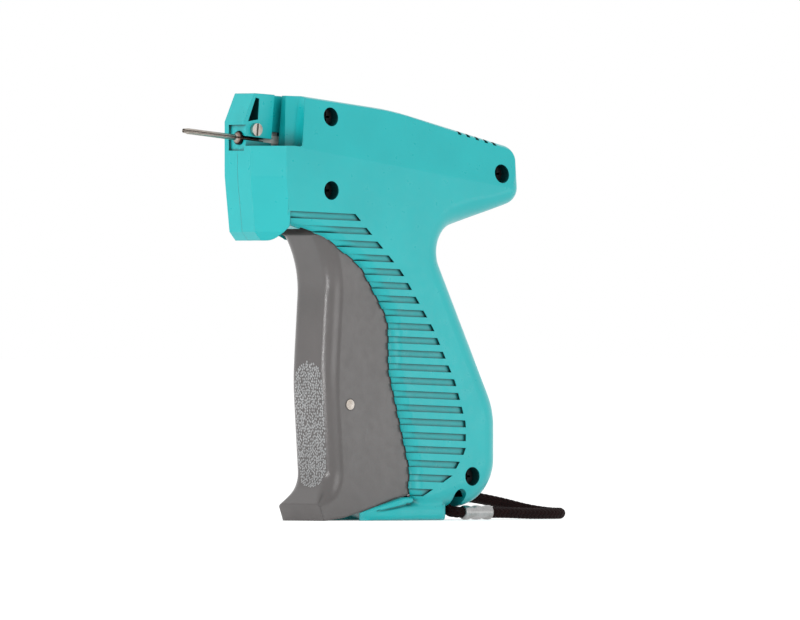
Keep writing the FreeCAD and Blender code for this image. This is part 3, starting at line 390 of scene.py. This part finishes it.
def yarn(finish: YarnFinish) -> bpy.types.Material:
    """Args: finish: its colours. Returns: the material of the cord's strands, from their own
    coordinates along and round each strand."""
    graph = Graph(finish.name)
    along = Signal(graph, graph.node("ShaderNodeAttribute", attribute_name="along").outputs["Fac"])
    around = Signal(graph, graph.node("ShaderNodeAttribute", attribute_name="around").outputs["Fac"])
    twist = (along * 2600.0 + around * 5.0).math("SINE").ramp(-1.0, 1.0)
    fuzz = graph.noise(5200.0, 3.0)
    colour = graph.mix((twist * fuzz).ramp(0.30, 0.75), finish.colour, finish.fibre)
    normal = graph.bump(twist * 0.6 + fuzz * 0.4, FIBRE_DEPTH)
    return graph.finish(
        Base_Color=colour,
        Roughness=finish.roughness,
        Normal=normal,
        Sheen_Weight=0.02,
        Specular_IOR_Level=0.10,
        Sheen_Roughness=0.5,
    )


class Palette:
    """The materials, each made once."""

    def __init__(self) -> None:
        self.casing = plastic(CASING)
        self.trigger = plastic(TRIGGER)
        self.inner = plastic(INNER)
        self.white = plastic(WHITE)
        self.pebbles = plastic(PEBBLES_PAINTED_SHEEN)
        self.steel = metal(STEEL)
        self.needle = needle_metal(NEEDLE)
        self.black_steel = metal(BLACK_STEEL)
        self.crimp = metal(CRIMP)
        self.yarn = yarn(YARN)
        log.info("palette of %d materials", len(vars(self)))


def new_mesh(name: str, points: Any, faces: Any, material: bpy.types.Material) -> bpy.types.Object:
    """Args: name: the piece's name; points, faces: its geometry in metres; material: its finish.
    Returns: a smooth-shaded piece at the origin."""
    mesh = bpy.data.meshes.new(name)
    mesh.from_pydata([tuple(p) for p in points], [], [tuple(f) for f in faces])
    mesh.materials.append(material)
    mesh.shade_smooth()
    piece = bpy.data.objects.new(name, mesh)
    bpy.context.scene.collection.objects.link(piece)
    return piece


def outward(piece: bpy.types.Object) -> None:
    """Args: piece: a closed piece whose faces are turned to point outwards."""
    net = bmesh.new()
    net.from_mesh(piece.data)
    bmesh.ops.recalc_face_normals(net, faces=net.faces)
    net.to_mesh(piece.data)
    net.free()


def paint(material: bpy.types.Material, *nodes: str) -> None:
    """Args: material: a finish; nodes: the CAD nodes that get it."""
    for name in nodes:
        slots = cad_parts[name].data.materials
        slots.clear()
        slots.append(material)
        log.info("%s: %s", name, material.name)


def smooth(value: float, low: float, high: float) -> float:
    """Args: value: where; low, high: the ends of the change. Returns: 0 to 1 in a soft step."""
    share = min(1.0, max(0.0, (value - low) / (high - low)))
    return share * share * (3 - 2 * share)


def rounded(depth: float, radius: float) -> float:
    """Args: depth: the distance from an edge; radius: its rounding. Returns: how far it is cut in."""
    if depth >= radius:
        return 0.0
    return radius - math.sqrt(max(0.0, radius**2 - (radius - depth) ** 2))


@dataclass
class Housing:
    """The two halves and what is fixed in them, with the foot's sides led into the handle. The sides
    run from front to rear, are fully wide from full on, and slope down in front of the heel."""

    palette: Palette
    front: float = -34.0 * MM
    full: float = -19.0 * MM
    heel: float = -17.4 * MM
    heel_slope: float = 0.30
    rear: float = -0.2 * MM
    top: float = 7.4 * MM
    outer: float = 13.35 * MM
    inner: float = 10.3 * MM
    round_low: float = 1.6 * MM
    round_rear: float = 1.4 * MM
    round_top: float = 1.0 * MM
    least: float = 0.1 * MM
    sunk: float = 0.05 * MM
    steps: tuple[int, int] = (44, 18)

    def build(self) -> None:
        """Paint the halves, their screws and the fixed pins, and make the foot's sides."""
        for side, name in ((-1, "casing_left"), (1, "casing_right")):
            self._foot_side(side, name)
        paint(self.palette.casing, "casing_left", "casing_right")
        paint(self.palette.black_steel, "casing_screws")
        paint(self.palette.steel, "trigger_pivot_pin", "lever_pivot_pin", "strap_bar", "return_spring")

    def _foot_side(self, side: int, half: str) -> None:
        """Args: side: -1 on the left and 1 on the right; half: that half of the housing."""
        shell = BVHTree.FromObject(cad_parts[half], bpy.context.evaluated_depsgraph_get())
        columns, rows = self.steps
        points, faces = [], []
        for j in range(rows + 1):
            for i in range(columns + 1):
                x = self.front + (self.rear - self.front) * i / columns
                top = self.top - self.heel_slope * max(0.0, self.heel - x)
                z = top * j / rows
                wide = self.inner + (self.outer - self.inner) * smooth(x, self.front, self.full)
                wide -= rounded(z, self.round_low) + rounded(self.rear - x, self.round_rear)
                wide = max(wide, self.inner + self.least)
                hit = shell.ray_cast(Vector((x, side * 0.03, z)), Vector((0, -side, 0)))[0]
                if hit is not None and abs(hit.y) > self.inner:
                    share = smooth(z, 0.45 * top, top)
                    wide = wide * (1 - share) + (abs(hit.y) - self.sunk) * share
                else:
                    wide = max(wide - rounded(top - z, self.round_top), self.inner + self.least)
                points.append((x, side * wide, z))
        count = len(points)
        points += [(x, side * self.inner, z) for x, _, z in points]
        width = columns + 1
        for j in range(rows):
            for i in range(columns):
                a = j * width + i
                faces.append((a, a + 1, a + width + 1, a + width))
                faces.append(tuple(count + k for k in (a, a + width, a + width + 1, a + 1)))
        rim = [*range(columns), *range(columns, count - 1, width)]
        rim += [*range(count - 1, rows * width, -1), *range(rows * width, 0, -width)]
        for a, b in zip(rim, rim[1:] + rim[:1]):
            faces.append((b, a, a + count, b + count))
        fairing = new_mesh(f"foot_{half.split('_')[1]}", points, faces, self.palette.casing)
        outward(fairing)
        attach(fairing, "casing")
        log.info("%s: %d faces", fairing.name, len(faces))


@dataclass
class Mechanism:
    """The lever, the slide, the feed and the needle."""

    palette: Palette

    def build(self) -> None:
        """Paint the moving pieces and the needle."""
        paint(self.palette.inner, "drive_lever", "ejector_slide")
        paint(self.palette.white, "feed_wheel", "index_slider")
        paint(self.palette.steel, "ejector_rod", "knife_blade", "feed_wheel_axle", "feed_pawl")
        paint(self.palette.steel, "anti_backup_spring", "needle_lock")
        paint(self.palette.needle, "needle")


@dataclass
class Trigger:
    """The trigger, with the grained oval where the fingers rest."""

    palette: Palette
    low: float = 10.5 * MM
    high: float = 51.0 * MM
    half_width: float = 7.0 * MM
    pebble: float = 0.46 * MM
    spacing: float = 1.36
    flattened: tuple[float, float, float] = (0.9, 1.15, 0.36)
    density: float = 4.0e6
    seed: int = 7
    steps: tuple[int, int] = (12, 44)

    def build(self) -> None:
        """Paint the trigger, and scatter the grain's pebbles over its front."""
        paint(self.palette.trigger, "trigger")
        paint(self.palette.steel, "trigger_drive_pin")
        patch = self._patch()
        self._scatter(patch)
        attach(patch, "trigger")
        log.info("trigger_grain: %d faces", len(patch.data.polygons))

    def _patch(self) -> bpy.types.Object:
        """Returns: an oval patch that lies on the trigger's front."""
        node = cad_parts["trigger"]
        tree = BVHTree.FromObject(node, bpy.context.evaluated_depsgraph_get())
        columns, rows = self.steps
        points, faces = [], []
        for j in range(rows + 1):
            v = 2 * j / rows - 1
            reach = self.half_width * max(0.0, 1 - abs(v) ** 5.0) ** 0.4
            z = self.low + (self.high - self.low) * j / rows
            for i in range(columns + 1):
                y = reach * (2 * i / columns - 1)
                hit = tree.ray_cast(Vector((-0.08, y, z)), Vector((1, 0, 0)))[0]
                points.append(hit if hit is not None else Vector((-0.046, y, z)))
        for j in range(rows):
            for i in range(columns):
                a = j * (columns + 1) + i
                faces.append((a, a + columns + 1, a + columns + 2, a + 1))
        return new_mesh("trigger_grain", points, faces, self.palette.pebbles)

    def _scatter(self, patch: bpy.types.Object) -> None:
        """Args: patch: the oval, whose mesh becomes the pebbles."""
        group = bpy.data.node_groups.new("pebble_scatter", "GeometryNodeTree")
        sockets = group.interface
        sockets.new_socket("Geometry", in_out="INPUT", socket_type="NodeSocketGeometry")
        spacing = sockets.new_socket("Spacing", in_out="INPUT", socket_type="NodeSocketFloat")
        seed = sockets.new_socket("Seed", in_out="INPUT", socket_type="NodeSocketInt")
        sockets.new_socket("Geometry", in_out="OUTPUT", socket_type="NodeSocketGeometry")
        nodes, link = group.nodes, group.links.new
        start, end = nodes.new("NodeGroupInput"), nodes.new("NodeGroupOutput")
        spots = nodes.new("GeometryNodeDistributePointsOnFaces")
        spots.distribute_method = "POISSON"
        spots.inputs["Density Max"].default_value = self.density
        link(start.outputs["Geometry"], spots.inputs["Mesh"])
        link(start.outputs["Spacing"], spots.inputs["Distance Min"])
        link(start.outputs["Seed"], spots.inputs["Seed"])
        pebble = nodes.new("GeometryNodeMeshIcoSphere")
        pebble.inputs["Radius"].default_value = self.pebble
        pebble.inputs["Subdivisions"].default_value = 1
        flat = nodes.new("GeometryNodeTransform")
        flat.inputs["Scale"].default_value = self.flattened
        link(pebble.outputs["Mesh"], flat.inputs["Geometry"])
        place = nodes.new("GeometryNodeInstanceOnPoints")
        link(spots.outputs["Points"], place.inputs["Points"])
        link(flat.outputs["Geometry"], place.inputs["Instance"])
        link(spots.outputs["Rotation"], place.inputs["Rotation"])
        solid = nodes.new("GeometryNodeRealizeInstances")
        link(place.outputs["Instances"], solid.inputs["Geometry"])
        finish = nodes.new("GeometryNodeSetMaterial")
        finish.inputs["Material"].default_value = self.palette.pebbles
        link(solid.outputs["Geometry"], finish.inputs["Geometry"])
        shaded = nodes.new("GeometryNodeSetShadeSmooth")
        link(finish.outputs["Geometry"], shaded.inputs["Geometry"])
        link(shaded.outputs["Geometry"], end.inputs["Geometry"])
        modifier = patch.modifiers.new("pebbles", "NODES")
        modifier.node_group = group
        modifier[spacing.identifier] = self.pebble * self.spacing
        modifier[seed.identifier] = self.seed
        freeze(patch)


def freeze(piece: bpy.types.Object) -> None:
    """Args: piece: an object whose modifiers become its plain mesh."""
    shown = piece.evaluated_get(bpy.context.evaluated_depsgraph_get())
    mesh = bpy.data.meshes.new_from_object(shown)
    piece.modifiers.clear()
    piece.data = mesh


@dataclass
class WristLoop:
    """The braided loop through the foot, and the sleeve that joins its ends."""

    palette: Palette
    diameter: float = 3.6 * MM
    length: float = 0.135
    strands: int = 8
    lay: float = 15.0 * MM
    strand: float = 0.62 * MM
    thick: float = 0.26 * MM
    inset: float = 0.34 * MM
    rise: float = 0.10 * MM
    core_inset: float = 0.45 * MM
    spacing: float = 0.45 * MM
    exit: tuple[float, float, float] = (0.0062, -0.0085, 0.0040)
    route: list[tuple[float, float, float]] = field(
        default_factory=lambda: [
            (0.0156, -0.0090, 0.0024),
            (0.0072, -0.0090, 0.0024),
            (0.0056, -0.0066, 0.0032),
            (0.0062, -0.0034, 0.0064),
            (0.0062, 0.0016, 0.0074),
            (0.0062, 0.0080, 0.0066),
            (0.0074, 0.0144, 0.0062),
            (0.0126, 0.0176, 0.0066),
            (0.0220, 0.0174, 0.0076),
            (0.0330, 0.0154, 0.0074),
            (0.0440, 0.0126, 0.0054),
            (0.0530, 0.0096, 0.0030),
            (0.0586, 0.0046, 0.0019),
            (0.0580, -0.0026, 0.0019),
            (0.0500, -0.0058, 0.0019),
            (0.0400, -0.0074, 0.0019),
            (0.0270, -0.0090, 0.0024),
            (0.0162, -0.0090, 0.0024),
        ]
    )

    def build(self) -> None:
        line = self._line()
        cord = self._braid(line)
        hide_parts("wrist_cord")
        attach(cord, "casing")
        sleeve = self._sleeve()
        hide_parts("crimp_sleeve")
        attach(sleeve, "casing")
        log.info("wrist_cord: %d points on its line", len(line))

    def _line(self) -> np.ndarray:
        """Returns: points along the route's smooth line, in metres."""
        curve = bpy.data.curves.new("route", "CURVE")
        curve.dimensions = "3D"
        curve.resolution_u = 24
        spline = curve.splines.new("NURBS")
        spline.points.add(len(self.route) - 1)
        for point, place in zip(spline.points, self.route):
            point.co = (*place, 1.0)
        spline.order_u = 3
        spline.use_endpoint_u = True
        holder = bpy.data.objects.new("route", curve)
        bpy.context.scene.collection.objects.link(holder)
        bpy.context.view_layer.update()
        shown = holder.evaluated_get(bpy.context.evaluated_depsgraph_get())
        mesh = bpy.data.meshes.new_from_object(shown)
        raw = np.array([v.co for v in mesh.vertices], float)
        bpy.data.objects.remove(holder)
        steps = np.concatenate([[0.0], np.cumsum(np.linalg.norm(np.diff(raw, axis=0), axis=1))])
        even = np.arange(0.0, steps[-1], self.spacing)
        return np.column_stack([np.interp(even, steps, raw[:, k]) for k in range(3)])

    @staticmethod
    def _frames(line: np.ndarray) -> tuple[np.ndarray, np.ndarray, np.ndarray]:
        """Args: line: points. Returns: their tangents and two sideways directions without twist."""
        tangent = np.gradient(line, axis=0)
        tangent /= np.linalg.norm(tangent, axis=1)[:, None]
        side = np.zeros_like(line)
        side[0] = np.cross(tangent[0], (0, 0, 1))
        side[0] /= np.linalg.norm(side[0])
        for i in range(1, len(line)):
            moved = side[i - 1] - tangent[i] * np.dot(side[i - 1], tangent[i])
            side[i] = moved / np.linalg.norm(moved)
        return tangent, side, np.cross(tangent, side)

    def _braid(self, line: np.ndarray) -> bpy.types.Object:
        """Args: line: the cord's centreline. Returns: strands that cross over and under."""
        tangent, side, up = self._frames(line)
        along = np.concatenate([[0.0], np.cumsum(np.linalg.norm(np.diff(line, axis=0), axis=1))])
        rim = self.diameter / 2 - self.inset
        points, faces, run, turn = [], [], [], []
        ring = np.linspace(0, 2 * math.pi, 7)[:-1]
        for way in (1, -1):
            for k in range(self.strands):
                phase = 2 * math.pi * (k + (0.5 if way < 0 else 0.0)) / self.strands
                angle = way * 2 * math.pi * along / self.lay + phase
                turns = 2 * math.pi * along / self.lay
                weave = np.sin(turns * self.strands / 2 + way * math.pi / 2 + k * math.pi)
                radius = rim + self.rise * weave
                out = side * np.cos(angle)[:, None] + up * np.sin(angle)[:, None]
                centre = line + out * radius[:, None]
                ahead = np.gradient(centre, axis=0)
                ahead /= np.linalg.norm(ahead, axis=1)[:, None]
                across = np.cross(ahead, out)
                first = len(points)
                for i in range(len(line)):
                    for a in ring:
                        offset = across[i] * math.cos(a) * self.strand + out[i] * math.sin(a) * self.thick
                        points.append(centre[i] + offset)
                        run.append(along[i])
                        turn.append(a)
                faces += self._tube(first, len(line), len(ring))
        first = len(points)
        core = self.diameter / 2 - self.core_inset
        for i in range(len(line)):
            for a in ring:
                points.append(line[i] + (side[i] * math.cos(a) + up[i] * math.sin(a)) * core)
                run.append(along[i])
                turn.append(a)
        faces += self._tube(first, len(line), len(ring))
        cord = new_mesh("wrist_loop", points, faces, self.palette.yarn)
        for name, values in (("along", run), ("around", turn)):
            layer = cord.data.attributes.new(name, "FLOAT", "POINT")
            layer.data.foreach_set("value", np.array(values, np.float32))
        return cord

    @staticmethod
    def _tube(first: int, rings: int, sides: int) -> list[tuple[int, ...]]:
        """Args: first: its first point; rings, sides: its counts. Returns: a closed tube's faces."""
        faces: list[tuple[int, ...]] = []
        for i in range(rings - 1):
            for j in range(sides):
                a = first + i * sides + j
                b = first + i * sides + (j + 1) % sides
                faces.append((a, b, b + sides, a + sides))
        faces.append(tuple(first + j for j in reversed(range(sides))))
        faces.append(tuple(first + (rings - 1) * sides + j for j in range(sides)))
        return faces

    def _sleeve(self) -> bpy.types.Object:
        """Returns: the pressed metal sleeve, with two dents and rolled ends."""
        low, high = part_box("crimp_sleeve")
        start = Vector((low.x, (low.y + high.y) / 2, (low.z + high.z) / 2))
        length, radius = high.x - low.x, (high.z - low.z) / 2
        rings, sides = 60, 40
        points = []
        for i in range(rings + 1):
            t = i / rings
            edge = min(t, 1 - t) * length
            lip = radius - 0.35 * MM * max(0.0, 1 - edge / (0.5 * MM)) ** 2
            dent = sum(math.exp(-(((t - c) * length) / (0.95 * MM)) ** 2) for c in (0.30, 0.70))
            for j in range(sides):
                a = 2 * math.pi * j / sides
                pinch = 1 - 0.16 * dent * abs(math.sin(a)) ** 3
                points.append(start + Vector((t * length, lip * math.cos(a), lip * math.sin(a) * pinch)))
        return new_mesh("crimp", points, self._tube(0, rings + 1, sides), self.palette.crimp)


@dataclass
class Studio:
    """The pale floor, the soft light and the camera."""

    azimuth: float = -40.0
    distance: float = 8.0
    across: float = -6.41 * MM
    centre_height: float = 67.3 * MM
    view_width: float = 256.4 * MM
    floor_glow: float = 0.45
    surround: float = 0.68

    def build(self) -> None:
        """Make the camera first, then the floor and the lights."""
        self._camera()
        self._floor()
        self._lights()
        self._world()

    def _camera(self) -> None:
        """Place the camera at the photograph's angle, far off and level."""
        a = math.radians(self.azimuth)
        right = Vector((math.cos(a), math.sin(a), 0))
        back = Vector((math.sin(a), -math.cos(a), 0))
        data = bpy.data.cameras.new("camera")
        data.sensor_width = 36.0
        data.lens = 36.0 * self.distance / self.view_width
        data.clip_end = 60.0
        camera = bpy.data.objects.new("camera", data)
        camera.location = right * self.across + back * self.distance + Vector((0, 0, self.centre_height))
        camera.rotation_mode = "QUATERNION"
        camera.rotation_quaternion = (-back).to_track_quat("-Z", "Y")
        scene = bpy.context.scene
        scene.collection.objects.link(camera)
        scene.camera = camera
        scene.view_settings.view_transform = "Standard"
        log.info("camera: lens %.0f mm", data.lens)

    def _floor(self) -> None:
        """Lay a plain pale floor, which the camera and shiny pieces see nearly white."""
        graph = Graph("studio_floor")
        pale = graph.node("ShaderNodeBsdfDiffuse", {"Color": (0.93, 0.93, 0.93, 1.0)})
        white = graph.node("ShaderNodeEmission", {"Strength": self.floor_glow})
        both = graph.node("ShaderNodeAddShader", {0: pale.outputs[0], 1: white.outputs[0]})
        layers = {0: graph.seen(), 1: pale.outputs[0], 2: both.outputs[0]}
        mixed = graph.node("ShaderNodeMixShader", layers)
        graph.node("ShaderNodeOutputMaterial", {"Surface": mixed.outputs[0]})
        corners = [(-20, -20, 0), (20, -20, 0), (20, 20, 0), (-20, 20, 0)]
        floor = new_mesh("studio_floor", corners, [(0, 1, 2, 3)], graph.owner)

    def _lights(self) -> None:
        """Set a large soft key, a strip on the side of the nose, two low lamps and a top light."""
        lamps = (
            ("key", (-0.5, -1.7, 0.30), 1.3, 8.0),
            ("strip", (-1.6, 0.55, 0.25), 0.3, 3.0),
            ("low", (0.33, -0.40, 0.01), 0.20, 0.14),
            ("bounce", (-0.42, 0.02, 0.02), 0.12, 0.30),
            ("top", (0.2, 0.2, 1.5), 1.0, 1.0),
        )
        for name, place, size, power in lamps:
            data = bpy.data.lights.new(name, "AREA")
            data.shape, data.size, data.energy = "DISK", size, power
            lamp = bpy.data.objects.new(name, data)
            lamp.location = place
            aim = Vector((-0.02, 0, 0.07)) - Vector(place)
            lamp.rotation_mode = "QUATERNION"
            lamp.rotation_quaternion = aim.to_track_quat("-Z", "Y")
            bpy.context.scene.collection.objects.link(lamp)

    def _world(self) -> None:
        """Give an even pale surround, white where it is seen."""
        graph = Graph("surround", world=True)
        soft = graph.node("ShaderNodeBackground", {"Color": (1, 1, 1, 1), "Strength": self.surround})
        white = graph.node("ShaderNodeBackground", {"Color": (1, 1, 1, 1), "Strength": 1.0})
        layers = {0: graph.seen(), 1: soft.outputs[0], 2: white.outputs[0]}
        mixed = graph.node("ShaderNodeMixShader", layers)
        graph.node("ShaderNodeOutputWorld", {"Surface": mixed.outputs[0]})
        bpy.context.scene.world = graph.owner


def main() -> None:
    """Build the scene."""
    logging.basicConfig(level=logging.INFO, format="%(name)s %(message)s")
    Studio().build()
    palette = Palette()
    WristLoop(palette).build()
    Housing(palette).build()
    Mechanism(palette).build()
    Trigger(palette).build()


if __name__ == "__main__":
    main()
